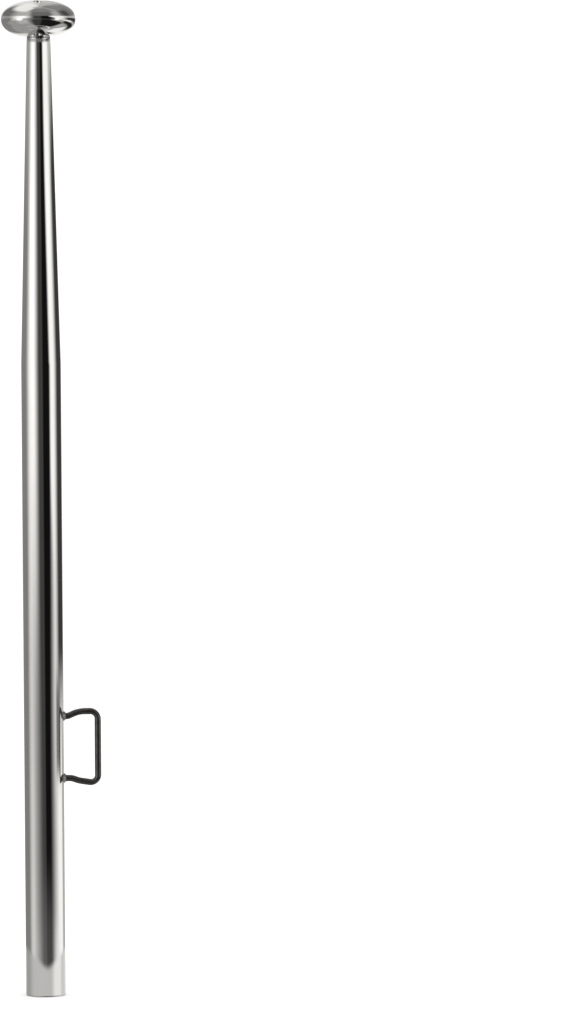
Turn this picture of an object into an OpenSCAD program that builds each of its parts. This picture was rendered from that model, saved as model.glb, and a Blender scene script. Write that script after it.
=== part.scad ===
// Small polished stainless flagstaff for a boat's rail or deck socket.
// A parallel lower tube carries a bent-rod halyard loop on one side. A tapered
// upper tube is butt-welded to it and closed by a plug, and a flattened
// round truck with two halyard holes is screwed on top.
// Millimetres, +Z up. The origin is the centre of the tube's lower end, and the
// halyard loop stands out towards +X.

/* [Staff] */
// Outer diameter of the parallel tube
tube_d = 25; // [20:0.5:28]
// Wall thickness of both tubes
tube_wall = 1.5; // [1.2:0.1:2]
// Height of the weld where the taper begins
straight_h = 397; // [300:1:600]
// Length of the tapered tube
taper_h = 206; // [120:1:400]
// Outer diameter at the top of the taper
taper_top_d = 15; // [14:0.5:18]
// Radius of the rounding on the outer edge of the lower end
foot_round = 1.1; // [0.3:0.1:1.1]

/* [Plug] */
// Radius of the collar's rounded edge
plug_round = 0.4; // [0.2:0.1:1]
// Height of the collar's flat top above its rounded edge
neck_h = 0.1; // [0.1:0.1:2]
// Length of the spigot that sits inside the taper
spigot_h = 12; // [6:1:20]

/* [Truck] */
// Diameter of the truck
truck_d = 47; // [44:0.5:60]
// Height of the truck
truck_h = 24; // [16:0.5:26]
// Squareness of the truck's section, where 2 is an ellipse
truck_power = 2.2; // [2:0.1:3]
// Diameter of each halyard hole
halyard_hole_d = 5; // [4:0.5:6]
// Distance of each halyard hole from the staff's axis
halyard_hole_r = 13; // [12:0.5:15]

/* [Halyard loop] */
// Diameter of the bent rod
rod_d = 4; // [3:0.5:5]
// Distance of the upright bar's centre line from the staff's axis
loop_out = 34; // [33:0.1:45]
// Height of the upper leg where it meets the tube
loop_top_z = 176.5; // [165:0.1:180]
// Height of the lower leg where it meets the tube
loop_low_z = 137.3; // [130:0.1:145]
// How far the upper leg flares upwards
flare_top = 3; // [2:0.1:4]
// How far the lower leg flares downwards where it straightens
flare_low = 1.6; // [1:0.1:2]
// Bend radius of the two outer corners
corner_r = 5; // [4:0.1:6]

/* [Hidden] */
$fn = 96;
tube_r = tube_d / 2;
bore_r = tube_r - tube_wall;
top_r = taper_top_d / 2;
top_z = straight_h + taper_h;
taper_bore_r = top_r - tube_wall;
neck_r = top_r - plug_round;
truck_z = top_z + plug_round + neck_h;
truck_r = truck_d / 2;
seat_cut = 0.5;
stud_d = 6;
stud_low = 8;
stud_up = 11;
rod_r = rod_d / 2;
steel = [0.80, 0.80, 0.79];
rod_steel = [0.36, 0.36, 0.35];

// ---- straight tube: parallel, open at the foot, with a rounded outer lip ----
module straight_tube() {
    color(steel)
    difference() {
        rotate_extrude() union() {
            translate([bore_r - 2, foot_round]) square([tube_wall + 2, straight_h - foot_round]);
            translate([bore_r - 2, 0]) square([tube_wall + 2 - foot_round, foot_round]);
            translate([tube_r - foot_round, foot_round]) circle(r = foot_round);
        }
        translate([0, 0, -1]) cylinder(r = bore_r, h = straight_h + 2);
    }
}

// ---- tapered tube: an even wall, butt-welded on and ground flush ----
module tapered_tube() {
    color(steel)
    translate([0, 0, straight_h])
    rotate_extrude()
        polygon([[bore_r, 0], [tube_r, 0], [top_r, taper_h], [taper_bore_r, taper_h]]);
}

// ---- top plug: a spigot in the tube and a thin collar with a rounded edge ----
module top_plug() {
    color(steel)
    translate([0, 0, top_z])
    difference() {
        union() {
            translate([0, 0, -spigot_h]) cylinder(r = taper_bore_r - 0.05, h = spigot_h);
            rotate_extrude() union() {
                square([neck_r, plug_round + neck_h]);
                intersection() {
                    translate([neck_r, 0]) circle(r = plug_round);
                    square([top_r, plug_round]);
                }
            }
        }
        translate([0, 0, plug_round + neck_h - stud_low]) cylinder(d = stud_d, h = stud_low + 1);
    }
}

// ---- truck stud: holds the truck down on the collar ----
module truck_stud() {
    color("gray")
    translate([0, 0, truck_z - stud_low]) cylinder(d = stud_d, h = stud_low + stud_up);
}

// ---- truck: a flattened ball with a blind hole below and two halyard holes ----
function truck_edge(a) =
    [truck_r * pow(max(cos(a), 0), 2 / truck_power),
     truck_h / 2 * (a < 0 ? -1 : 1) * pow(abs(sin(a)), 2 / truck_power)];

module truck() {
    color(steel)
    translate([0, 0, truck_z - seat_cut])
    difference() {
        translate([0, 0, truck_h / 2])
        rotate_extrude()
            polygon(concat([[0, -truck_h / 2]],
                           [for (a = [-87 : 3 : 87]) truck_edge(a)],
                           [[0, truck_h / 2]]));
        // the truck sits flat on the collar
        translate([0, 0, -1]) cylinder(r = neck_r + 4, h = 1 + seat_cut);
        translate([0, 0, -1]) cylinder(d = stud_d, h = 1 + seat_cut + stud_up + 0.2);
        for (s = [-1, 1])
            translate([0, s * halyard_hole_r, -2]) cylinder(d = halyard_hole_d, h = truck_h + 4);
    }
}

// ---- halyard loop: one bent rod, swept along straight runs and round bends ----
// corner points of the bent rod in the X-Z plane, with the bend radius at each
loop_path = [
    [tube_r - 1.1, loop_top_z, 0],
    [tube_r + 2.6, loop_top_z, 5],
    [tube_r + 9.6, loop_top_z + flare_top, 18],
    [loop_out, loop_top_z + flare_top + 0.1, corner_r],
    [loop_out, loop_low_z - flare_low - 1.8, corner_r - 0.4],
    [tube_r + 9.5, loop_low_z - flare_low, 16],
    [tube_r + 4.9, loop_low_z, 8],
    [tube_r - 1.1, loop_low_z, 0]];
rod_sides = 24;
bend_step = 9;

function unit(v) = v / norm(v);
function xz(p) = [p[0], p[1]];
function left_of(v) = [-v[1], v[0]];
function spin(v, t) = [v[0] * cos(t) - v[1] * sin(t), v[0] * sin(t) + v[1] * cos(t)];
// direction of the run that leaves point i
function run(i) = unit(xz(loop_path[i + 1]) - xz(loop_path[i]));
// angle turned at point i, positive anticlockwise seen with +X right and +Z up
function turn(i) = let (a = run(i - 1), b = run(i))
    atan2(a[0] * b[1] - a[1] * b[0], a[0] * b[0] + a[1] * b[1]);
// stations of the bend at point i: [centre, direction] at even angles
function bend(i) =
    let (t = turn(i), a = run(i - 1), r = loop_path[i][2], side = sign(t),
         start = xz(loop_path[i]) - a * r * tan(abs(t) / 2),
         mid = start + side * r * left_of(a),
         n = ceil(abs(t) / bend_step))
    [for (k = [0 : n]) [mid + spin(start - mid, t * k / n), spin(a, t * k / n)]];
stations = concat(
    [[xz(loop_path[0]), run(0)]],
    [for (i = [1 : len(loop_path) - 2]) each bend(i)],
    [[xz(loop_path[len(loop_path) - 1]), run(len(loop_path) - 2)]]);

module rod() {
    n = rod_sides;
    m = len(stations);
    ring_points = [for (s = stations) for (k = [0 : n - 1])
        let (u = rod_r * cos(360 * k / n), v = rod_r * sin(360 * k / n), q = s[0] + u * left_of(s[1]))
        [q[0], v, q[1]]];
    polyhedron(ring_points, concat(
        [[for (k = [0 : n - 1]) k]],
        [for (j = [0 : m - 2]) for (k = [0 : n - 1])
            let (a = j * n + k, b = j * n + (k + 1) % n) each [[a, a + n, b], [b, a + n, b + n]]],
        [[for (k = [n - 1 : -1 : 0]) (m - 1) * n + k]]));
}

module halyard_loop() {
    color(rod_steel)
    difference() {
        rod();
        // the legs are coped to the tube
        translate([0, 0, loop_low_z - 20]) cylinder(r = tube_r, h = loop_top_z - loop_low_z + 40);
    }
}

// ---- weld beads: a fillet round each leg, where it meets the tube ----
module loop_weld(z) {
    color([0.55, 0.55, 0.54])
    difference() {
        translate([tube_r - 1.3, 0, z]) rotate([0, 90, 0])
            cylinder(r1 = rod_r + 2.1, r2 = rod_r + 0.25, h = 2.9);
        translate([0, 0, z - 10]) cylinder(r = tube_r, h = 20);
        translate([tube_r - 3, 0, z]) rotate([0, 90, 0]) cylinder(r = rod_r, h = 8);
    }
}

module upper_loop_weld() loop_weld(loop_top_z);
module lower_loop_weld() loop_weld(loop_low_z);

straight_tube();
tapered_tube();
top_plug();
truck_stud();
truck();
halyard_loop();
upper_loop_weld();
lower_loop_weld();
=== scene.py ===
import math

import bpy
from mathutils import Matrix, Vector
from mathutils.geometry import delaunay_2d_cdt


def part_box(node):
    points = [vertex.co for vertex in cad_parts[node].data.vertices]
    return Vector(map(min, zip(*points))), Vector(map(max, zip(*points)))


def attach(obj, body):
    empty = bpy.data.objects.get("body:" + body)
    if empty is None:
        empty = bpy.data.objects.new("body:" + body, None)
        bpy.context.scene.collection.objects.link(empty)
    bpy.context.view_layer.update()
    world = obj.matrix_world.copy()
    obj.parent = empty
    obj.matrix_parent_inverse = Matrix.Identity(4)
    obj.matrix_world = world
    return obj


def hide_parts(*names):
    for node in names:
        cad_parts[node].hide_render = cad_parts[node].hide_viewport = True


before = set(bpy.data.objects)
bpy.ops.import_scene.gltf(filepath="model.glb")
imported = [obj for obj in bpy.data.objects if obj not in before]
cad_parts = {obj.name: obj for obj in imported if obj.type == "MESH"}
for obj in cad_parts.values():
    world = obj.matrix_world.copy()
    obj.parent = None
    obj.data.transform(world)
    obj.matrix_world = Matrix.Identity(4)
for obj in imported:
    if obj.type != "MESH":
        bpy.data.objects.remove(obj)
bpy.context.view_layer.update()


MM = 0.001

# ------------------------------------------------------------------ sizes (mm)
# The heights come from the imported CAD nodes; the rest repeats the CAD's sizes.
tube_low, tube_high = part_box("straight_tube")
taper_low, taper_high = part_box("tapered_tube")
truck_low, truck_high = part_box("truck")
loop_low, loop_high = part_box("halyard_loop")
TUBE_R = 12.5
BORE_R = 11.0
JOIN_Z = tube_high.z / MM
TOP_Z = taper_high.z / MM
TOP_R = 7.5
TOP_BORE_R = 6.0
COLLAR_R = 0.4
SEAT_Z = TOP_Z + 0.5
TRUCK_R = 23.5
TRUCK_H = 24.0
TRUCK_TOP = truck_high.z / MM
TRUCK_MID = TRUCK_TOP - TRUCK_H / 2
POWER = 2.2
HOLE_R = 2.5
HOLE_AT = 13.0
ROD_R = 2.0


# ------------------------------------------------------------------ mesh tools
def add_object(name, verts, faces, sharp=32.0):
    """A mesh object from points in millimetres, smooth but for its sharp edges."""
    me = bpy.data.meshes.new(name)
    me.from_pydata([(x * MM, y * MM, z * MM) for x, y, z in verts], [], faces)
    me.validate()
    me.shade_smooth()
    if sharp:
        me.set_sharp_from_angle(angle=math.radians(sharp))
    ob = bpy.data.objects.new(name, me)
    bpy.context.scene.collection.objects.link(ob)
    return ob


def lathe(name, profile, segments, sharp=32.0, shape=None):
    """A closed solid of revolution. profile is (r, z) points in order; r = 0 is a pole.
    shape(r, z, angle) may move a point and returns (r, z)."""
    verts, rings = [], []
    for r, z in profile:
        if r < 1e-9:
            rings.append([len(verts)])
            verts.append((0.0, 0.0, z))
            continue
        start = len(verts)
        for k in range(segments):
            a = 2 * math.pi * k / segments
            rr, zz = shape(r, z, a) if shape else (r, z)
            verts.append((rr * math.cos(a), rr * math.sin(a), zz))
        rings.append(list(range(start, start + segments)))
    faces = []
    pole = any(len(x) == 1 for x in rings)
    count = len(rings) - 1 if pole else len(rings)
    for i in range(count):
        a, b = rings[i], rings[(i + 1) % len(rings)]
        for k in range(segments):
            k2 = (k + 1) % segments
            if len(a) == 1 and len(b) == 1:
                continue
            if len(a) == 1:
                faces.append((a[0], b[k2], b[k]))
            elif len(b) == 1:
                faces.append((a[k], a[k2], b[0]))
            else:
                faces.append((a[k], a[k2], b[k2], b[k]))
    return add_object(name, verts, faces, sharp)


def arc(cx, cy, r, a0, a1, steps):
    """Points on an arc, angles in degrees."""
    return [
        (cx + r * math.cos(math.radians(a0 + (a1 - a0) * i / steps)),
         cy + r * math.sin(math.radians(a0 + (a1 - a0) * i / steps)))
        for i in range(steps + 1)
    ]


def span(a, b, steps):
    """Evenly spaced values from a to b, without b."""
    return [a + (b - a) * i / steps for i in range(steps)]


# ------------------------------------------------------------------ the tubes
def straight_tube():
    lip = 1.1
    profile = arc(TUBE_R - lip, lip, lip, -90, 0, 12)
    profile += [(TUBE_R, z) for z in (1.4, 2.0, 3.0, 5.0)]
    profile += [(TUBE_R, z) for z in span(8.0, JOIN_Z - 1.0, 96)]
    profile += [(TUBE_R, JOIN_Z - 1.0), (TUBE_R, JOIN_Z), (BORE_R, JOIN_Z)]
    profile += [(BORE_R, z) for z in reversed(span(6.0, JOIN_Z, 40))]
    profile += [(BORE_R, 1.2), (BORE_R, 0.25), (BORE_R + 0.06, 0.06), (BORE_R + 0.2, 0.0)]

    def seam(r, z, a):
        # the tube's own lengthwise weld shows inside as a low bead
        if r < BORE_R + 0.03:
            d = (a - math.pi * 0.72) * BORE_R
            ripple = 0.75 + 0.25 * math.sin(z * 2 * math.pi / 3.1)
            return r - 0.22 * ripple * math.exp(-(d / 0.75) ** 2), z
        return r, z

    return lathe("straight_tube_skin", profile, 224, 40, seam)


def tapered_tube():
    slope = (TUBE_R - TOP_R) / (TOP_Z - JOIN_Z)
    profile = [(TUBE_R, JOIN_Z)]
    # the weld is dressed flush, so the bend between the two tubes is eased a little
    for z in (0.5, 1.0, 1.5, 2.0, 2.5, 3.0, 4.0):
        eased = slope * (z * z / 6.0 if z <= 3.0 else 1.5 + (z - 3.0))
        profile.append((TUBE_R - eased * 1.0, JOIN_Z + z))
    r0, z0 = profile[-1]
    steps = 64
    end = TOP_Z - 0.25
    for i in range(1, steps + 1):
        z = z0 + (end - z0) * i / steps
        profile.append((r0 + (TOP_R - r0) * (z - z0) / (TOP_Z - z0), z))
    profile += [(TOP_R - 0.05, TOP_Z - 0.1), (TOP_R - 0.2, TOP_Z)]
    profile += [(TOP_BORE_R, TOP_Z)]
    for i in range(1, 25):
        z = TOP_Z + (JOIN_Z - TOP_Z) * i / 24
        profile.append((TOP_BORE_R + (BORE_R - TOP_BORE_R) * i / 24, z))
    return lathe("tapered_tube_skin", profile, 192, 40)


# ------------------------------------------------------------------ the plug
def top_plug():
    spigot = TOP_BORE_R - 0.05
    profile = [(0.0, TOP_Z - 12), (spigot - 0.5, TOP_Z - 12), (spigot, TOP_Z - 11.5)]
    profile += [(spigot, z) for z in span(TOP_Z - 10, TOP_Z, 5)][1:] + [(spigot, TOP_Z)]
    profile += [(TOP_R - 0.2, TOP_Z), (TOP_R - 0.04, TOP_Z + 0.12)]
    profile += arc(TOP_R - COLLAR_R, TOP_Z + 0.1, COLLAR_R, 6, 90, 10)
    profile += [(TOP_R - 1.5, SEAT_Z), (3.3, SEAT_Z), (3.05, SEAT_Z - 0.25)]
    profile += [(3.05, SEAT_Z - 8), (0.0, SEAT_Z - 8)]
    return lathe("top_plug_skin", profile, 128, 40)


def truck_stud():
    """The stud that screws the truck down, with a real thread."""
    z0, z1 = SEAT_Z - 8, SEAT_Z + 11
    pitch, depth, segments, per_turn = 1.0, 0.5, 36, 12
    rows = int((z1 - z0 - 1.0) / pitch * per_turn)
    verts, faces = [], []
    for j in range(rows + 1):
        base = z0 + 0.5 + (z1 - z0 - 1.0) * j / rows
        for k in range(segments):
            a = 2 * math.pi * k / segments
            phase = ((base - z0) / pitch - k / segments) % 1.0
            cut = 1 - abs(2 * phase - 1)
            end = min(1.0, (base - z0) / 1.4, (z1 - base) / 1.4)
            r = 2.98 - depth * min(1.0, max(0.0, 1.35 * cut - 0.15)) * 1.0 - 0.45 * (1 - end)
            verts.append((r * math.cos(a), r * math.sin(a), base))
    for j in range(rows):
        for k in range(segments):
            a, b = j * segments + k, j * segments + (k + 1) % segments
            faces.append((a, b, b + segments, a + segments))
    low, high = len(verts), len(verts) + 1
    verts += [(0, 0, z0 + 0.5), (0, 0, z1 - 0.5)]
    for k in range(segments):
        k2 = (k + 1) % segments
        faces.append((low, k2, k))
        faces.append((high, rows * segments + k, rows * segments + k2))
    return add_object("truck_stud_thread", verts, faces, 50)


# ------------------------------------------------------------------ the truck
def truck_z(r):
    """Half height of the truck's surface at radius r."""
    return TRUCK_H / 2 * max(0.0, 1 - (r / TRUCK_R) ** POWER) ** (1 / POWER)


def truck_normal(x, y, z):
    r = math.hypot(x, y)
    g = (r / TRUCK_R) ** (POWER - 1) / TRUCK_R
    h = (abs(z) / (TRUCK_H / 2)) ** (POWER - 1) / (TRUCK_H / 2)
    v = Vector((g * x / r if r > 1e-9 else 0, g * y / r if r > 1e-9 else 0,
                math.copysign(h, z)))
    return v.normalized()


def truck():
    """The flattened ball: fine sheets above and below, with the two drilled holes eased
    into them by rounded lips, and a smooth rim between."""
    lip = 0.45
    outer = HOLE_R + lip
    edge_r = 21.0
    seat_r = 7.83
    stud_r = 3.05
    rim_segments = 256
    hole_segments = 72
    centres = [(0.0, -HOLE_AT), (0.0, HOLE_AT)]
    verts, faces, normals = [], [], []

    def put(x, y, z, n=None):
        verts.append((x, y, z))
        normals.append(n)
        return len(verts) - 1

    def sheet(side):
        inner = 0.0 if side > 0 else stud_r
        pts, tags = [], []
        radii = [inner + (edge_r - inner) * i / 44 for i in range(45)]
        if side < 0:
            # the turned seat ends in a crisp edge
            radii = sorted([r for r in radii if abs(r - seat_r) > 0.15] + [seat_r - 0.02, seat_r + 0.02])
        for r in radii:
            if r < 1e-6:
                pts.append((0.0, 0.0))
                tags.append(("s", None))
                continue
            n = rim_segments if r == radii[-1] else max(24, int(2 * math.pi * r / 0.55))
            if side < 0 and r == radii[0]:
                n = 48
            for k in range(n):
                a = 2 * math.pi * (k + (0 if r in (radii[0], radii[-1]) else 0.5 * (int(r * 10) % 2))) / n
                x, y = r * math.cos(a), r * math.sin(a)
                ring = r in (radii[-1], stud_r)
                if not ring and any(math.hypot(x - cx, y - cy) < outer + 0.85 for cx, cy in centres):
                    continue
                pts.append((x, y))
                tags.append(("edge", k) if r == radii[-1] else ("stud", k) if (side < 0 and r == radii[0]) else ("s", None))
        edges = []
        for h, (cx, cy) in enumerate(centres):
            for extra in (0.0, 0.3, 0.6):
                first = len(pts)
                for k in range(hole_segments):
                    a = 2 * math.pi * (k + (0.5 if extra == 0.3 else 0)) / hole_segments
                    pts.append((cx + (outer + extra) * math.cos(a), cy + (outer + extra) * math.sin(a)))
                    tags.append(("hole%d" % h, k) if extra == 0.0 else ("s", None))
                edges += [(first + k, first + (k + 1) % hole_segments) for k in range(hole_segments)]
        out = delaunay_2d_cdt([Vector(p) for p in pts], edges, [], 0, 1e-7)
        overts, _, ofaces, orig = out[0], out[1], out[2], out[3]
        index, ring = {}, {"edge": {}, "stud": {}, "hole0": {}, "hole1": {}}
        for i, p in enumerate(overts):
            x, y = p.x, p.y
            z = side * truck_z(math.hypot(x, y))
            n = truck_normal(x, y, z)
            if side < 0 and math.hypot(x, y) < seat_r + 1e-6:
                z = -(truck_z(seat_r))
                n = Vector((0, 0, -1))
            index[i] = put(x, y, z, n)
            for o in orig[i]:
                kind, k = tags[o]
                if kind in ring:
                    ring[kind][k] = index[i]
        for f in ofaces:
            cx = sum(overts[i].x for i in f) / len(f)
            cy = sum(overts[i].y for i in f) / len(f)
            if math.hypot(cx, cy) < inner - 1e-6:
                continue
            if any(math.hypot(cx - hx, cy - hy) < outer - 1e-6 for hx, hy in centres):
                continue
            tri = [index[i] for i in f]
            a, b, c = (Vector(verts[i]) for i in tri[:3])
            if ((b - a).cross(c - a)).z * side < 0:
                tri.reverse()
            faces.append(tuple(tri))
        return ring

    top, low = sheet(1), sheet(-1)

    # rim from the upper sheet's edge round to the lower sheet's edge
    steps = 56
    a_edge = math.acos((edge_r / TRUCK_R) ** (POWER / 2))
    previous = [top["edge"][k] for k in range(rim_segments)]
    for j in range(1, steps + 1):
        t = a_edge * (1 - 2 * j / steps)
        if j == steps:
            row = [low["edge"][k] for k in range(rim_segments)]
        else:
            r = TRUCK_R * max(math.cos(t), 0) ** (2 / POWER)
            z = math.copysign(TRUCK_H / 2 * abs(math.sin(t)) ** (2 / POWER), t)
            row = []
            for k in range(rim_segments):
                a = 2 * math.pi * k / rim_segments
                x, y = r * math.cos(a), r * math.sin(a)
                row.append(put(x, y, z, truck_normal(x, y, z)))
        for k in range(rim_segments):
            k2 = (k + 1) % rim_segments
            faces.append((previous[k], row[k], row[k2], previous[k2]))
        previous = row

    # each hole: a rounded lip above, the bore, a rounded lip below
    for h, (hx, hy) in enumerate(centres):
        def lip_rings(side, ring):
            """Rings from the sheet's hole edge down the rounded lip to the bore's wall."""
            rows = [[ring["hole%d" % h][k] for k in range(hole_segments)]]
            for s in range(1, 9):
                t = math.radians(90 * s / 8)
                row = []
                for k in range(hole_segments):
                    a = 2 * math.pi * k / hole_segments
                    rho = outer - lip * math.sin(t)
                    x, y = hx + rho * math.cos(a), hy + rho * math.sin(a)
                    xo, yo = hx + outer * math.cos(a), hy + outer * math.sin(a)
                    zo = truck_z(math.hypot(xo, yo))
                    # follow the sheet's slope at the lip's outer edge and turn down to the wall
                    slope = (truck_z(math.hypot(x, y)) - zo)
                    drop = lip * (1 - math.cos(t))
                    z = zo + slope * math.cos(t) - drop
                    row.append(put(x, y, side * z, None))
                rows.append(row)
            return rows

        up, down = lip_rings(1, top), lip_rings(-1, low)
        wall_steps = 14
        rows = up
        first, lastr = up[-1], down[-1]
        for s in range(1, wall_steps):
            row = []
            for k in range(hole_segments):
                p, q = Vector(verts[first[k]]), Vector(verts[lastr[k]])
                v = p.lerp(q, s / wall_steps)
                row.append(put(v.x, v.y, v.z, None))
            rows.append(row)
        rows += list(reversed(down))
        for a, b in zip(rows[:-1], rows[1:]):
            for k in range(hole_segments):
                k2 = (k + 1) % hole_segments
                faces.append((a[k], a[k2], b[k2], b[k]))

    # blind hole for the stud
    n = 48
    ring = [low["stud"][k] for k in range(n)]
    z = verts[ring[0]][2]
    for depth in (0.25, 4.0, 8.0, 11.2):
        row = [put(stud_r * math.cos(2 * math.pi * k / n), stud_r * math.sin(2 * math.pi * k / n), z + depth, None)
               for k in range(n)]
        for k in range(n):
            k2 = (k + 1) % n
            faces.append((ring[k], ring[k2], row[k2], row[k]))
        ring = row
    tip = put(0, 0, z + 12.4, None)
    for k in range(n):
        faces.append((ring[k], ring[(k + 1) % n], tip))

    ob = add_object("truck_skin", [(x, y, z + TRUCK_MID) for x, y, z in verts], faces, 0)
    me = ob.data
    me.set_sharp_from_angle(angle=math.radians(40))
    # exact normals on the turned faces, so that the mirror finish reflects cleanly
    known = len(me.vertices) == len(normals)
    if known:
        custom = [tuple(n) if n is not None else tuple(v.normal) for v, n in zip(me.vertices, normals)]
        loops = [custom[i] for p in me.polygons for i in p.vertices]
        me.normals_split_custom_set(loops)
    return ob


# ------------------------------------------------------------------ the loop
LOOP_TOP = 176.5
LOOP_LOW = 137.3
LOOP_OUT = 34.0
LOOP_PATH = [
    (TUBE_R - 0.12, LOOP_TOP, 0),
    (TUBE_R + 2.6, LOOP_TOP, 5),
    (TUBE_R + 9.6, LOOP_TOP + 3.0, 18),
    (LOOP_OUT, LOOP_TOP + 3.1, 5.0),
    (LOOP_OUT, LOOP_LOW - 1.6 - 1.8, 4.6),
    (TUBE_R + 9.5, LOOP_LOW - 1.6, 16),
    (TUBE_R + 4.9, LOOP_LOW, 8),
    (TUBE_R - 0.12, LOOP_LOW, 0),
]


def loop_stations(step=0.45):
    """(x, z, direction, bend) along the bent rod; bend is 1 in the middle of a tight bend."""
    pts = [Vector((x, z)) for x, z, _ in LOOP_PATH]
    out = []
    here = pts[0]
    for i in range(1, len(pts)):
        a = (pts[i] - pts[i - 1]).normalized()
        if i == len(pts) - 1:
            n = max(1, int((pts[i] - here).length / step))
            for k in range(n + 1):
                out.append((here.lerp(pts[i], k / n), a, 0.0))
            break
        b = (pts[i + 1] - pts[i]).normalized()
        turn = math.atan2(a.x * b.y - a.y * b.x, a.dot(b))
        r = LOOP_PATH[i][2]
        back = r * math.tan(abs(turn) / 2)
        start = pts[i] - a * back
        n = max(1, int((start - here).length / step))
        for k in range(n):
            out.append((here.lerp(start, k / n), a, 0.0))
        side = 1 if turn > 0 else -1
        mid = start + side * r * Vector((-a.y, a.x))
        n = max(6, int(abs(turn) * r / step))
        for k in range(n):
            t = turn * k / n
            c, s = math.cos(t), math.sin(t)
            d = start - mid
            p = mid + Vector((d.x * c - d.y * s, d.x * s + d.y * c))
            v = Vector((a.x * c - a.y * s, a.x * s + a.y * c))
            tight = min(1.0, abs(turn) / 1.5) * math.sin(math.pi * k / n) ** 0.5 if k else 0.0
            out.append((p, v, tight))
        here = pts[i] + b * back
    return out


def halyard_loop():
    sides = 40
    stations = loop_stations()
    verts, faces = [], []
    for p, v, tight in stations:
        left = Vector((-v.y, v.x))
        for k in range(sides):
            a = 2 * math.pi * k / sides
            # a bent rod flattens a little across the bend
            u = ROD_R * (1 - 0.045 * tight) * math.cos(a)
            w = ROD_R * (1 - 0.005 * tight) * math.sin(a)
            verts.append((p.x + u * left.x, w, p.y + u * left.y))
    rows = len(stations)
    for j in range(rows - 1):
        for k in range(sides):
            a, b = j * sides + k, j * sides + (k + 1) % sides
            faces.append((a, a + sides, b + sides, b))
    # the two ends are coped to the tube
    for row, direction in ((0, 1), (rows - 1, -1)):
        ring = [row * sides + k for k in range(sides)]
        for i in ring:
            x, y, z = verts[i]
            verts[i] = (math.sqrt(TUBE_R ** 2 - y * y) - 0.05, y, z)
        z = sum(verts[i][2] for i in ring) / sides
        c = len(verts)
        verts.append((TUBE_R - 0.05, 0.0, z))
        for k in range(sides):
            a, b = ring[k], ring[(k + 1) % sides]
            faces.append((c, a, b) if direction > 0 else (c, b, a))
    return add_object("halyard_loop_rod", verts, faces, 50)


# ------------------------------------------------------------------ the welds
def weld(name, z0, seed):
    """A fillet bead of overlapping ripples round the foot of a leg."""
    around, across = 168, 12
    ripples = 20
    verts, faces = [], []
    for j in range(around):
        a = 2 * math.pi * j / around
        ph = (j / around * ripples + seed * 0.37) % 1.0
        scallop = (1 - abs(2 * ph - 1)) ** 0.6
        size = 1.0 + 0.05 * math.sin(a * 2 + seed) + 0.04 * math.sin(a * 5 + 2.3 * seed)
        toe = ROD_R + 1.22 * size + 0.07 * scallop
        rise = 1.42 * size + 0.06 * scallop
        ca, sa = math.cos(a), math.sin(a)
        ring = []
        for i in range(across + 1):
            t = i / across
            # from the toe on the tube, over the bead, to the toe on the rod
            rho = toe + (ROD_R - 0.02 - toe) * (t ** 0.92)
            up = rise * t ** 1.25
            bulge = 0.16 * math.sin(math.pi * t) * (0.75 + 0.25 * scallop)
            rho += bulge * 0.9
            up += bulge * 0.9
            y, z = rho * ca, rho * sa
            ring.append((math.sqrt(TUBE_R ** 2 - y * y) + up * (1 if i else 0) - (0.04 if i == 0 else 0), y, z0 + z))
        # hidden inner side, inside the rod and the tube's wall
        y, z = (ROD_R - 0.35) * ca, (ROD_R - 0.35) * sa
        ring.append((math.sqrt(TUBE_R ** 2 - y * y) + rise * 0.9, y, z0 + z))
        ring.append((math.sqrt(TUBE_R ** 2 - y * y) - 0.25, y, z0 + z))
        y, z = (toe - 0.15) * ca, (toe - 0.15) * sa
        ring.append((math.sqrt(TUBE_R ** 2 - y * y) - 0.3, y, z0 + z))
        verts += ring
    n = across + 4
    for j in range(around):
        j2 = (j + 1) % around
        for i in range(n):
            i2 = (i + 1) % n
            faces.append((j * n + i, j2 * n + i, j2 * n + i2, j * n + i2))
    return add_object(name, verts, faces, 55)


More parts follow.
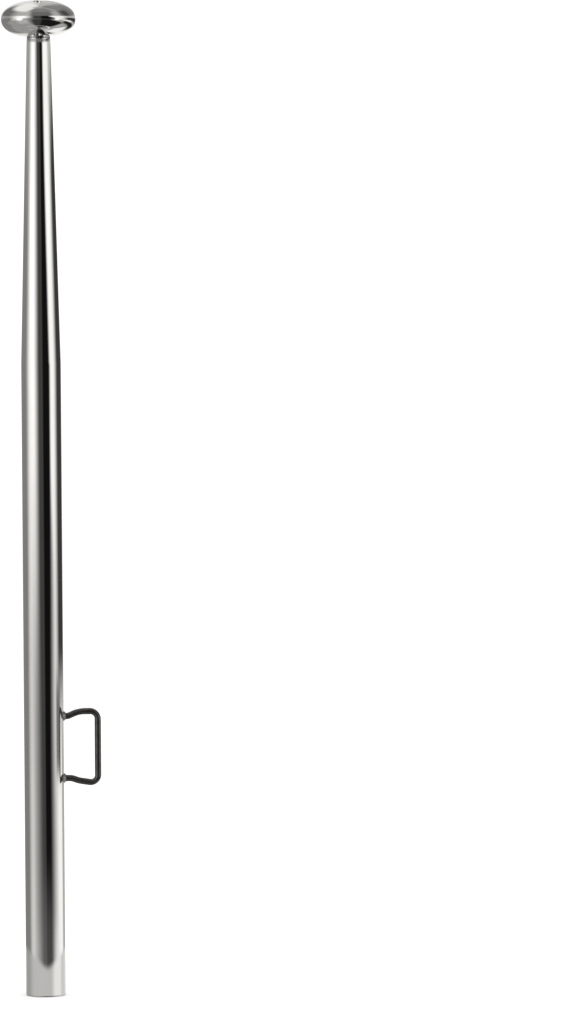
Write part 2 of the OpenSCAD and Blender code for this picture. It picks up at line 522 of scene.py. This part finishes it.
# ------------------------------------------------------------------ materials
class Nodes:
    """A short way to write a node material."""

    def __init__(self, name):
        self.mat = bpy.data.materials.new(name)
        self.mat.use_nodes = True
        self.tree = self.mat.node_tree
        self.tree.nodes.clear()
        self.out = self.tree.nodes.new("ShaderNodeOutputMaterial")

    def link(self, a, b):
        self.tree.links.new(a, b)

    def math(self, op, a, b=None, c=None, clamp=False):
        node = self.tree.nodes.new("ShaderNodeMath")
        node.operation = op
        node.use_clamp = clamp
        for i, v in enumerate((a, b, c)):
            if v is None:
                continue
            if isinstance(v, (int, float)):
                node.inputs[i].default_value = v
            else:
                self.link(v, node.inputs[i])
        return node.outputs[0]

    def smooth(self, value, low, high, to_low=0.0, to_high=1.0):
        node = self.tree.nodes.new("ShaderNodeMapRange")
        node.interpolation_type = "SMOOTHSTEP"
        self.link(value, node.inputs["Value"])
        node.inputs["From Min"].default_value = low
        node.inputs["From Max"].default_value = high
        node.inputs["To Min"].default_value = to_low
        node.inputs["To Max"].default_value = to_high
        return node.outputs[0]

    def linear(self, value, low, high):
        """0 below low, 1 above high and even between."""
        node = self.tree.nodes.new("ShaderNodeMapRange")
        self.link(value, node.inputs["Value"])
        node.inputs["From Min"].default_value = low
        node.inputs["From Max"].default_value = high
        return node.outputs[0]

    def noise(self, vector, scale, detail=2.0, rough=0.5, stretch=None):
        if stretch:
            m = self.tree.nodes.new("ShaderNodeMapping")
            m.inputs["Scale"].default_value = stretch
            self.link(vector, m.inputs["Vector"])
            vector = m.outputs[0]
        node = self.tree.nodes.new("ShaderNodeTexNoise")
        node.inputs["Scale"].default_value = scale
        node.inputs["Detail"].default_value = detail
        node.inputs["Roughness"].default_value = rough
        self.link(vector, node.inputs["Vector"])
        return node.outputs["Fac"]

    def mix_colour(self, fac, a, b):
        node = self.tree.nodes.new("ShaderNodeMix")
        node.data_type = "RGBA"
        for key, v in (("Factor", fac), ("A", a), ("B", b)):
            sock = [s for s in node.inputs if s.name == key and s.enabled][-1 if key != "Factor" else 0]
            if isinstance(v, tuple):
                sock.default_value = (*v, 1.0)
            elif isinstance(v, (int, float)):
                sock.default_value = v
            else:
                self.link(v, sock)
        return [s for s in node.outputs if s.enabled][0]

    def bump(self, height, distance, strength=1.0, normal=None):
        node = self.tree.nodes.new("ShaderNodeBump")
        node.inputs["Strength"].default_value = strength
        node.inputs["Distance"].default_value = distance
        self.link(height, node.inputs["Height"])
        if normal is not None:
            self.link(normal, node.inputs["Normal"])
        return node.outputs[0]


def cylindrical(n, coords):
    """Angle round the axis in turns, radius and height from object coordinates."""
    sep = n.tree.nodes.new("ShaderNodeSeparateXYZ")
    n.link(coords, sep.inputs[0])
    angle = n.math("ARCTAN2", sep.outputs[1], sep.outputs[0])
    radius = n.math("SQRT", n.math("ADD", n.math("MULTIPLY", sep.outputs[0], sep.outputs[0]),
                                   n.math("MULTIPLY", sep.outputs[1], sep.outputs[1])))
    return angle, radius, sep.outputs[2]


def principled(n, metallic=1.0, **values):
    bsdf = n.tree.nodes.new("ShaderNodeBsdfPrincipled")
    bsdf.inputs["Metallic"].default_value = metallic
    for k, v in values.items():
        bsdf.inputs[k].default_value = v
    n.link(bsdf.outputs[0], n.out.inputs[0])
    return bsdf


def polished_tube_material(name, base, inside_below=None, seed=0.0):
    """Mirror-polished stainless tube: fine lengthwise polishing lines, faint waviness, light
    smears, and a dull mill finish inside."""
    n = Nodes(name)
    tc = n.tree.nodes.new("ShaderNodeTexCoord")
    obj = tc.outputs["Object"]
    angle, radius, height = cylindrical(n, obj)
    # unrolled coordinates, so that lines run straight along and round the tube
    comb = n.tree.nodes.new("ShaderNodeCombineXYZ")
    n.link(n.math("MULTIPLY", angle, 0.0125), comb.inputs[0])
    n.link(height, comb.inputs[1])
    comb.inputs[2].default_value = seed
    flat = comb.outputs[0]
    rings = n.noise(flat, 1.0, 3, 0.55, (500.0, 9000.0, 1.0))       # across: buffing lines
    scratches = n.noise(flat, 1.0, 2, 0.5, (6000.0, 160.0, 1.0))    # along: handling lines
    wavy = n.noise(obj, 1.0, 2, 0.5, (55.0, 55.0, 9.0))             # polishing waviness
    smear = n.noise(obj, 1.0, 4, 0.6, (60.0, 60.0, 22.0))
    fine = n.noise(obj, 900.0, 3, 0.6)

    bsdf = principled(n)
    tone = n.mix_colour(n.smooth(smear, 0.35, 0.7), tuple(base), tuple(c * 0.965 for c in base))
    rough = n.math("ADD", 0.035, n.smooth(smear, 0.52, 0.78, 0.0, 0.05))
    rough = n.math("ADD", rough, n.math("MULTIPLY", n.smooth(scratches, 0.62, 0.8), 0.03))
    rough = n.math("ADD", rough, n.math("MULTIPLY", n.smooth(fine, 0.6, 0.75), 0.02))
    if inside_below:
        inside = n.smooth(radius, inside_below + 0.0001, inside_below, 0.0, 1.0)
        mill = n.noise(flat, 1.0, 4, 0.65, (2600.0, 60.0, 1.0))
        dull = n.math("ADD", 0.34, n.math("MULTIPLY", mill, 0.2))
        rough = n.math("ADD", n.math("MULTIPLY", rough, n.math("SUBTRACT", 1.0, inside)),
                       n.math("MULTIPLY", dull, inside))
        inner = n.mix_colour(mill, (0.36, 0.35, 0.34), (0.5, 0.49, 0.47))
        tone = n.mix_colour(inside, tone, inner)
    n.link(tone, bsdf.inputs["Base Color"])
    n.link(rough, bsdf.inputs["Roughness"])
    b = n.bump(wavy, 0.00006)
    b = n.bump(rings, 0.0000006, 1.0, b)
    b = n.bump(scratches, 0.0000008, 1.0, b)
    n.link(b, bsdf.inputs["Normal"])
    return n.mat


def turned_material(name, base, seed=0.0):
    """Turned and mirror-polished stainless: faint concentric lines, softly smeared."""
    n = Nodes(name)
    tc = n.tree.nodes.new("ShaderNodeTexCoord")
    obj = tc.outputs["Object"]
    angle, radius, height = cylindrical(n, obj)
    comb = n.tree.nodes.new("ShaderNodeCombineXYZ")
    n.link(n.math("MULTIPLY", angle, 0.01), comb.inputs[0])
    n.link(n.math("ADD", radius, height), comb.inputs[1])
    comb.inputs[2].default_value = seed
    rings = n.noise(comb.outputs[0], 1.0, 3, 0.55, (120.0, 8000.0, 1.0))
    smear = n.noise(obj, 70.0, 4, 0.6)
    wavy = n.noise(obj, 55.0, 1, 0.4)
    fine = n.noise(obj, 1100.0, 3, 0.6)
    bsdf = principled(n)
    tone = n.mix_colour(n.smooth(smear, 0.35, 0.7), tuple(base), tuple(c * 0.96 for c in base))
    rough = n.math("ADD", 0.04, n.smooth(smear, 0.5, 0.78, 0.0, 0.06))
    rough = n.math("ADD", rough, n.math("MULTIPLY", n.smooth(fine, 0.6, 0.75), 0.02))
    n.link(tone, bsdf.inputs["Base Color"])
    n.link(rough, bsdf.inputs["Roughness"])
    b = n.bump(wavy, 0.00005)
    b = n.bump(rings, 0.0000007, 1.0, b)
    n.link(b, bsdf.inputs["Normal"])
    return n.mat


def rod_painted_dark_material():
    """Drawn rod, bent and only lightly buffed: satin, with lengthwise die lines. Its dark colour is painted shade,
    standing in for the dark surroundings that the thin rod reflects.
    """
    n = Nodes("bent_rod_steel_painted_dark")
    tc = n.tree.nodes.new("ShaderNodeTexCoord")
    obj = tc.outputs["Object"]
    lines = n.noise(obj, 1.0, 3, 0.6, (1500.0, 2600.0, 90.0))
    cloud = n.noise(obj, 260.0, 3, 0.6)
    fine = n.noise(obj, 2600.0, 2, 0.6)
    bsdf = principled(n)
    # painted shade: the very dark base colour and the greyed specular tint make the rod read dark, as its
    # reflections of dark surroundings would
    tone = n.mix_colour(n.smooth(cloud, 0.3, 0.75), (0.13, 0.128, 0.122), (0.19, 0.186, 0.178))
    rough = n.math("ADD", 0.26, n.math("MULTIPLY", cloud, 0.1))
    rough = n.math("ADD", rough, n.math("MULTIPLY", n.smooth(lines, 0.5, 0.8), 0.08))
    bsdf.inputs["Specular Tint"].default_value = (0.35, 0.35, 0.34, 1.0)
    n.link(tone, bsdf.inputs["Base Color"])
    n.link(rough, bsdf.inputs["Roughness"])
    b = n.bump(lines, 0.000006)
    b = n.bump(fine, 0.000002, 1.0, b)
    n.link(b, bsdf.inputs["Normal"])
    return n.mat


def weld_material():
    """Brushed weld metal with a faint straw and blue heat tint."""
    n = Nodes("weld_bead_steel")
    tc = n.tree.nodes.new("ShaderNodeTexCoord")
    obj = tc.outputs["Object"]
    cloud = n.noise(obj, 520.0, 3, 0.6)
    grain = n.noise(obj, 3800.0, 2, 0.6)
    bsdf = principled(n)
    warm = n.mix_colour(n.smooth(cloud, 0.42, 0.7), (0.4, 0.395, 0.385), (0.37, 0.34, 0.29))
    tone = n.mix_colour(n.smooth(cloud, 0.62, 0.82, 0.0, 0.6), warm, (0.26, 0.27, 0.31))
    n.link(tone, bsdf.inputs["Base Color"])
    rough = n.math("ADD", 0.26, n.math("MULTIPLY", grain, 0.22))
    n.link(rough, bsdf.inputs["Roughness"])
    b = n.bump(cloud, 0.00005)
    b = n.bump(grain, 0.00001, 1.0, b)
    n.link(b, bsdf.inputs["Normal"])
    return n.mat


def stud_material():
    n = Nodes("stud_steel")
    tc = n.tree.nodes.new("ShaderNodeTexCoord")
    obj = tc.outputs["Object"]
    cloud = n.noise(obj, 400.0, 3, 0.6)
    fine = n.noise(obj, 4000.0, 2, 0.6)
    bsdf = principled(n)
    tone = n.mix_colour(cloud, (0.45, 0.44, 0.42), (0.58, 0.57, 0.55))
    n.link(tone, bsdf.inputs["Base Color"])
    rough = n.math("ADD", 0.25, n.math("MULTIPLY", cloud, 0.15))
    n.link(rough, bsdf.inputs["Roughness"])
    n.link(n.bump(fine, 0.000008), bsdf.inputs["Normal"])
    return n.mat


# ------------------------------------------------------------------ build
STEEL = (0.76, 0.755, 0.74)
TRUCK_STEEL = (0.74, 0.735, 0.72)

pieces = [
    (straight_tube(), "straight_tube", "polished_tube",
     polished_tube_material("polished_tube_steel", STEEL, 0.0113, 0.0)),
    (tapered_tube(), "tapered_tube", "polished_tube",
     polished_tube_material("polished_taper_steel", STEEL, None, 4.0)),
    (top_plug(), "top_plug", "polished_truck", turned_material("polished_plug_steel", STEEL, 2.0)),
    (truck_stud(), "truck_stud", "stud", stud_material()),
    (truck(), "truck", "polished_truck", turned_material("polished_truck_steel", TRUCK_STEEL, 0.0)),
    (halyard_loop(), "halyard_loop", "bent_rod", rod_painted_dark_material()),
    (weld("upper_loop_weld_bead", LOOP_TOP, 1), "upper_loop_weld", "weld", weld_material()),
    (weld("lower_loop_weld_bead", LOOP_LOW, 2), "lower_loop_weld", "weld", None),
]
last_mat = None
for ob, node, slot, mat in pieces:
    mat = mat or last_mat
    last_mat = mat
    ob.data.materials.append(mat)
    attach(ob, "root")
    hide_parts(node)


# ------------------------------------------------------------------ studio
def stage_object(name, verts, faces, mat, camera=True, glossy=True, diffuse=True, shadow=True):
    me = bpy.data.meshes.new(name)
    me.from_pydata(verts, [], faces)
    me.shade_smooth()
    ob = bpy.data.objects.new(name, me)
    bpy.context.scene.collection.objects.link(ob)
    me.materials.append(mat)
    ob.visible_camera = camera
    ob.visible_glossy = glossy
    ob.visible_diffuse = diffuse
    ob.visible_shadow = shadow
    ob.visible_transmission = False
    ob.visible_volume_scatter = False
    return ob


def floor_material():
    n = Nodes("pale_floor")
    tc = n.tree.nodes.new("ShaderNodeTexCoord")
    grain = n.noise(tc.outputs["Object"], 300.0, 3, 0.6)
    bsdf = principled(n, 0.0)
    bsdf.inputs["Roughness"].default_value = 0.9
    bsdf.inputs["Specular IOR Level"].default_value = 0.1
    n.link(n.mix_colour(grain, (0.93, 0.93, 0.925), (0.95, 0.95, 0.945)), bsdf.inputs["Base Color"])
    return n.mat


def table_glow_material():
    """What the polished tube sees of the pale table: grey on the left, brighter on the right,
    and a little brighter close to the foot."""
    n = Nodes("table_reflection")
    tc = n.tree.nodes.new("ShaderNodeTexCoord")
    sep = n.tree.nodes.new("ShaderNodeSeparateXYZ")
    n.link(tc.outputs["Object"], sep.inputs[0])
    az = n.math("DEGREES", n.math("ARCTAN2", sep.outputs[0], n.math("MULTIPLY", sep.outputs[1], -1.0)))
    rad = n.math("SQRT", n.math("ADD", n.math("MULTIPLY", sep.outputs[0], sep.outputs[0]),
                                n.math("MULTIPLY", sep.outputs[1], sep.outputs[1])))
    left = n.math("MULTIPLY", n.smooth(az, -150.0, -132.0), n.smooth(az, -112.0, -64.0, 1.0, 0.0))
    right = n.smooth(az, 28.0, 62.0)
    gap = n.math("MULTIPLY", n.smooth(az, 88.0, 112.0), n.smooth(az, 132.0, 165.0, 1.0, 0.0))
    light = n.math("SUBTRACT", n.smooth(rad, 0.1, 0.6, 0.62, 0.54), n.math("MULTIPLY", left, 0.2))
    light = n.math("ADD", light, n.math("MULTIPLY", right, 0.38))
    light = n.math("SUBTRACT", light, n.math("MULTIPLY", gap, n.smooth(rad, 0.1, 0.6, 0.28, 0.05)))
    light = n.math("MULTIPLY", light, n.smooth(rad, 0.1, 0.6, 1.05, 0.95))
    emit = n.tree.nodes.new("ShaderNodeEmission")
    n.link(light, emit.inputs["Strength"])
    emit.inputs["Color"].default_value = (1.0, 0.995, 0.985, 1.0)
    clear = n.tree.nodes.new("ShaderNodeBsdfTransparent")
    edge = n.tree.nodes.new("ShaderNodeMixShader")
    n.link(n.smooth(sep.outputs[2], -0.0035, 0.0025), edge.inputs[0])
    n.link(emit.outputs[0], edge.inputs[1])
    n.link(clear.outputs[0], edge.inputs[2])
    n.link(edge.outputs[0], n.out.inputs[0])
    return n.mat


def tent_material():
    """A pale fabric tent with a dark opening towards the camera, a bright window on each
    side and a dark stand behind on the right. Angles are seen from the tube, in degrees from
    the camera's side, positive to the right; heights are angles above the tube's middle."""
    n = Nodes("studio_tent")
    tc = n.tree.nodes.new("ShaderNodeTexCoord")
    sep = n.tree.nodes.new("ShaderNodeSeparateXYZ")
    n.link(tc.outputs["Object"], sep.inputs[0])
    az = n.math("DEGREES", n.math("ARCTAN2", sep.outputs[0], n.math("MULTIPLY", sep.outputs[1], -1.0)))
    az = n.math("SUBTRACT", az, 1.6)
    rad = n.math("SQRT", n.math("ADD", n.math("MULTIPLY", sep.outputs[0], sep.outputs[0]),
                                n.math("MULTIPLY", sep.outputs[1], sep.outputs[1])))
    low = n.math("DEGREES", n.math("ARCTAN2", sep.outputs[2], rad))
    # the heights below are spread out, as the long lens sees little of them
    el = n.math("MULTIPLY_ADD", n.linear(low, -9.0, 0.84), 21.4, -12.8)
    el = n.math("MULTIPLY_ADD", n.linear(low, 0.84, 3.62), 2.7, el)
    el = n.math("MULTIPLY_ADD", n.linear(low, 3.62, 8.5), 10.45, el)

    def window(value, a0, a1, b0, b1):
        """1 between a1 and b0, soft from a0 to a1 and from b0 to b1."""
        return n.math("MULTIPLY", n.smooth(value, a0, a1), n.smooth(value, b0, b1, 1.0, 0.0))

    def lay(base, level, mask):
        """base where mask is 0, level where it is 1."""
        keep = n.math("MULTIPLY", base, n.math("SUBTRACT", 1.0, mask))
        return n.math("ADD", keep, n.math("MULTIPLY", mask, level))

    # pale walls
    light = n.math("ADD", 1.2, 0.0)
    # the left side is greyer beside the object
    grey = window(az, -178.0, -166.0, -106.0, -60.0)
    light = lay(light, n.smooth(el, 12.0, 20.0, 0.26, 0.42), grey)
    # left window: bright above the table's level, greyer below it
    w_out = n.math("ADD", n.smooth(el, -1.0, 9.0, -104.0, -90.0), n.smooth(el, 14.0, 20.0, 0.0, 8.0))
    w_in = n.smooth(el, 9.0, 17.0, -40.0, -54.0)
    w_ramp = n.math("DIVIDE", n.math("SUBTRACT", az, w_out), n.math("SUBTRACT", w_in, w_out))
    w_mask = n.math("MULTIPLY", n.smooth(w_ramp, 0.0, 1.0), n.smooth(az, 30.0, 40.0, 1.0, 0.0))
    light = lay(light, n.smooth(el, -4.0, 9.0, 0.54, 1.40), w_mask)
    # right window
    light = lay(light, n.smooth(el, -4.0, 7.0, 0.95, 1.25), window(az, 30.0, 40.0, 74.0, 100.0))
    # dark stand on the right, between table level and a little above
    stand = n.math("MULTIPLY", window(az, 70.0, 108.0, 150.0, 174.0), n.smooth(el, -5.0, -1.0))
    stand = n.math("MULTIPLY", stand, n.smooth(el, 15.5, 19.5, 1.0, 0.5))
    light = lay(light, 0.05, stand)
    light = lay(light, 0.5, n.math("MULTIPLY", window(az, 118.0, 132.0, 156.0, 168.0), n.smooth(el, -1.0, -5.0)))
    # small dark box below the stand
    low_box = n.math("MULTIPLY", window(az, 69.0, 86.0, 98.0, 124.0), window(el, -5.9, -5.1, -3.0, -1.4))
    light = lay(light, 0.2, low_box)
    # dark opening in front: softer on its left, black on its right, narrower high up
    r_turn = n.smooth(el, 8.0, 21.0, 0.0, -15.0)
    r_in = n.math("ADD", n.smooth(el, -5.0, 6.0, 34.0, 43.0), r_turn)
    r_out = n.math("ADD", n.smooth(el, -8.0, -3.0, 92.0, 82.0), n.smooth(el, 0.5, 5.5, 0.0, -22.0))
    r_out = n.math("ADD", n.math("ADD", r_out, r_turn), n.smooth(el, -10.0, -11.6, 0.0, -14.0))
    r_ramp = n.math("DIVIDE", n.math("SUBTRACT", az, r_in), n.math("SUBTRACT", r_out, r_in))
    l_out = n.smooth(el, -7.0, 2.0, -65.0, -50.0)
    l_in = n.smooth(el, -7.0, 2.0, -2.0, -10.0)
    l_out = n.math("ADD", l_out, n.smooth(el, -10.0, -11.6, 0.0, 10.0))
    l_ramp = n.math("DIVIDE", n.math("SUBTRACT", az, l_out), n.math("SUBTRACT", l_in, l_out))
    opening = n.math("MULTIPLY", n.smooth(l_ramp, 0.0, 1.0), n.smooth(r_ramp, 0.0, 1.0, 1.0, 0.0))
    dark = n.smooth(az, 4.0, 13.0, 0.062, 0.007)
    dark = n.math("ADD", dark, n.smooth(el, -11.5, -8.0, 0.07, 0.0))
    light = lay(light, dark, opening)
    # higher up, where only the truck looks: a grey ring, then a roof that is white on the left
    ring = n.smooth(az, -112.0, -60.0, 0.19, 0.55)
    ring = lay(ring, 0.18, n.smooth(az, -35.0, -17.0))
    ring = lay(ring, 0.5, window(az, 36.0, 54.0, 66.0, 80.0))
    ring = lay(ring, 0.08, window(az, 80.0, 94.0, 104.0, 120.0))
    ring = lay(ring, 0.28, n.smooth(az, 116.0, 150.0))
    ring = lay(ring, 0.65, n.smooth(az, 160.0, 172.0))
    ring = lay(ring, 0.9, n.smooth(az, -150.0, -168.0))
    roof = n.smooth(az, -60.0, -25.0, 1.12, 0.27)
    roof = lay(roof, 0.4, window(az, 50.0, 64.0, 84.0, 98.0))
    roof = lay(roof, 0.3, n.smooth(az, 98.0, 120.0))
    roof = lay(roof, 0.62, n.smooth(az, 148.0, 168.0))
    roof = lay(roof, 0.78, n.smooth(az, -170.0, -179.0))
    roof = lay(roof, 0.5, n.smooth(low, 76.0, 88.0))
    high = n.math("ADD", n.math("MULTIPLY", ring, n.smooth(low, 38.0, 56.0, 1.0, 0.0)),
                  n.math("MULTIPLY", roof, n.smooth(low, 38.0, 56.0)))
    light = lay(light, high, n.smooth(low, 9.0, 17.0))
    # below table level, where again only the truck, the rod and the foot's lip look
    under = n.math("ADD", 0.4, 0.0)
    under = lay(under, 0.27, n.math("MULTIPLY", window(az, -178.0, -166.0, -128.0, -108.0), n.smooth(low, -42.0, -30.0)))
    under = lay(under, 0.56, n.math("MULTIPLY", window(az, -84.0, -68.0, -42.0, -32.0), n.smooth(low, -52.0, -40.0)))
    f_right = n.smooth(low, -33.0, -15.0, 84.0, 34.0)
    front = n.math("DIVIDE", n.math("SUBTRACT", az, f_right), 18.0)
    front = n.math("MULTIPLY", n.smooth(front, 0.0, 1.0, 1.0, 0.0), n.smooth(az, -40.0, -14.0))
    under = lay(under, n.smooth(az, 4.0, 16.0, 0.055, 0.012), front)
    under = lay(under, 0.5, n.math("MULTIPLY", window(az, 84.0, 98.0, 112.0, 122.0), window(low, -62.0, -52.0, -42.0, -30.0)))
    under = lay(under, 0.02, n.math("MULTIPLY", window(az, 84.0, 98.0, 152.0, 164.0), n.smooth(low, -34.0, -25.0)))
    under = lay(under, 1.15, n.math("MULTIPLY", n.smooth(az, 124.0, 136.0), window(low, -64.0, -54.0, -40.0, -30.0)))
    under = lay(under, 1.15, n.math("MULTIPLY", n.smooth(az, 153.0, 163.0), n.smooth(low, -60.0, -50.0)))
    under = lay(under, 0.95, n.math("MULTIPLY", n.smooth(az, -164.0, -173.0), n.smooth(low, -44.0, -32.0)))
    light = lay(light, under, n.smooth(low, -10.0, -15.0))
    emit = n.tree.nodes.new("ShaderNodeEmission")
    n.link(light, emit.inputs["Strength"])
    emit.inputs["Color"].default_value = (1.0, 0.99, 0.975, 1.0)
    n.link(emit.outputs[0], n.out.inputs[0])
    return n.mat


def panel_material(name, level, inner, outer, stretch=1.0, top=None):
    """A glowing or dark card with a soft edge; what lies behind it shows beyond the edge."""
    n = Nodes(name)
    tc = n.tree.nodes.new("ShaderNodeTexCoord")
    sep = n.tree.nodes.new("ShaderNodeSeparateXYZ")
    n.link(tc.outputs["Object"], sep.inputs[0])
    across, along = sep.outputs[0], sep.outputs[1]
    if top is None:
        away = n.math("SQRT", n.math("ADD", n.math("MULTIPLY", across, across),
                                     n.math("MULTIPLY", n.math("MULTIPLY", along, along), stretch)))
        cover = n.smooth(away, inner, outer, 1.0, 0.0)
    else:
        cover = n.math("MULTIPLY", n.smooth(n.math("ABSOLUTE", across), inner, outer, 1.0, 0.0),
                       n.smooth(along, top[0], top[1], 1.0, 0.0))
    clear = n.tree.nodes.new("ShaderNodeBsdfTransparent")
    emit = n.tree.nodes.new("ShaderNodeEmission")
    emit.inputs["Strength"].default_value = level
    mix = n.tree.nodes.new("ShaderNodeMixShader")
    n.link(cover, mix.inputs[0])
    n.link(clear.outputs[0], mix.inputs[1])
    n.link(emit.outputs[0], mix.inputs[2])
    n.link(mix.outputs[0], n.out.inputs[0])
    return n.mat


def panel(name, az, el, centre, away, half, mat):
    """An upright card seen from centre in the direction az, el, square to it."""
    a, e = math.radians(az + 1.6), math.radians(el)
    out = Vector((math.sin(a) * math.cos(e), -math.cos(a) * math.cos(e), math.sin(e)))
    side = Vector((math.cos(a), math.sin(a), 0.0))
    up = out.cross(side) if out.cross(side).z > 0 else side.cross(out)
    w, h = half
    ob = stage_object(name, [(-w, -h, 0), (w, -h, 0), (w, h, 0), (-w, h, 0)], [(0, 1, 2, 3)], mat,
                      camera=False, glossy=True, diffuse=False, shadow=False)
    m = Matrix((side, up, side.cross(up))).transposed().to_4x4()
    m.translation = Vector(centre) + out * away
    ob.matrix_world = m
    return ob


def tent():
    """A large ball of fabric round the object, seen only by its polish."""
    radius, rows, n = 8.0, 32, 64
    verts, faces = [(0, 0, -radius)], []
    for j in range(1, rows):
        t = -math.pi / 2 + math.pi * j / rows
        for k in range(n):
            a = 2 * math.pi * k / n
            verts.append((radius * math.cos(t) * math.cos(a), radius * math.cos(t) * math.sin(a),
                          radius * math.sin(t)))
    verts.append((0, 0, radius))
    last = len(verts) - 1
    for k in range(n):
        k2 = (k + 1) % n
        faces.append((0, 1 + k2, 1 + k))
        faces.append((last, 1 + (rows - 2) * n + k, 1 + (rows - 2) * n + k2))
        for j in range(rows - 2):
            a, b = 1 + j * n + k, 1 + j * n + k2
            faces.append((a, b, b + n, a + n))
    ob = stage_object("studio_tent", verts, faces, tent_material(),
                      camera=False, glossy=True, diffuse=False, shadow=False)
    ob.location = (0, 0, 0.234)
    return ob


fl = 14.0
stage_object("floor", [(-fl, -fl, 0), (fl, -fl, 0), (fl, fl, 0), (-fl, fl, 0)], [(0, 1, 2, 3)],
             floor_material(), glossy=False)
# the pale table as the foot sees it: its edge passes a hand's breadth from the tube
rim_n = 64
rim_pts = []
for k in range(rim_n):
    t = 2 * math.pi * k / rim_n
    reach = 0.148 + 0.113 * math.sqrt(0.02 + math.sin((t - math.radians(14 - 90)) / 2) ** 2)
    rim_pts.append((reach * math.cos(t), reach * math.sin(t)))
stage_object("table_reflection",
             [(x, y, -0.12) for x, y in rim_pts] + [(x, y, 0.0025) for x, y in rim_pts],
             [(k, (k + 1) % rim_n, rim_n + (k + 1) % rim_n, rim_n + k) for k in range(rim_n)],
             table_glow_material(), camera=False, glossy=True, diffuse=False, shadow=False)
tent()
# a grey card behind the staff, below the truck, and two soft lights level with the truck
panel("card_behind", 177.0, 0.0, (0, 0, 0.15), 0.25, (0.11, 0.32),
      panel_material("card_behind", 0.03, 0.042, 0.07, top=(0.22, 0.31)))
panel("soft_light_left", -60.0, -9.0, (0, 0, 0.61), 0.5, (0.13, 0.13),
      panel_material("soft_light_left", 1.5, 0.05, 0.125))
panel("soft_light_right", 60.0, -9.0, (0, 0, 0.61), 0.5, (0.13, 0.13),
      panel_material("soft_light_right", 1.3, 0.045, 0.1))

world = bpy.data.worlds.new("studio")
bpy.context.scene.world = world
world.use_nodes = True
bg = world.node_tree.nodes["Background"]
bg.inputs["Color"].default_value = (1.0, 1.0, 1.0, 1.0)
bg.inputs["Strength"].default_value = 1.15


def softbox(name, loc, aim, size, watts):
    lamp = bpy.data.lights.new(name, "AREA")
    lamp.shape = "RECTANGLE"
    lamp.size, lamp.size_y = size
    lamp.energy = watts
    ob = bpy.data.objects.new(name, lamp)
    bpy.context.scene.collection.objects.link(ob)
    ob.location = loc
    ob.rotation_euler = (Vector(aim) - Vector(loc)).to_track_quat("-Z", "Y").to_euler()
    ob.visible_glossy = False
    ob.visible_camera = False
    return ob


softbox("top_softbox", (0.2, -0.4, 2.2), (0, 0, 0.2), (1.6, 1.6), 14)

# ------------------------------------------------------------------ camera
cam = bpy.data.cameras.new("camera")
cam.sensor_fit = "AUTO"
cam.sensor_width = 36.0
cam.lens = 5000.0 * 36.0 / 1024.0
cam.clip_end = 60.0
cam_ob = bpy.data.objects.new("camera", cam)
bpy.context.scene.collection.objects.link(cam_ob)
yaw, pitch, roll = math.radians(1.2), math.radians(-2.0), math.radians(-0.352)
forward = Vector((math.sin(yaw) * math.cos(pitch), math.cos(yaw) * math.cos(pitch), math.sin(pitch)))
right0 = Vector((math.cos(yaw), -math.sin(yaw), 0.0))
up0 = right0.cross(forward)
right1 = right0 * math.cos(roll) + up0 * math.sin(roll)
up1 = up0 * math.cos(roll) - right0 * math.sin(roll)
m = Matrix((right1, up1, -forward)).transposed().to_4x4()
m.translation = Vector((0.087, -3.1504, 0.4144))
cam_ob.matrix_world = m
bpy.context.scene.camera = cam_ob

bpy.context.scene.view_settings.view_transform = "Standard"
bpy.context.scene.view_settings.look = "None"
bpy.context.scene.render.film_transparent = False
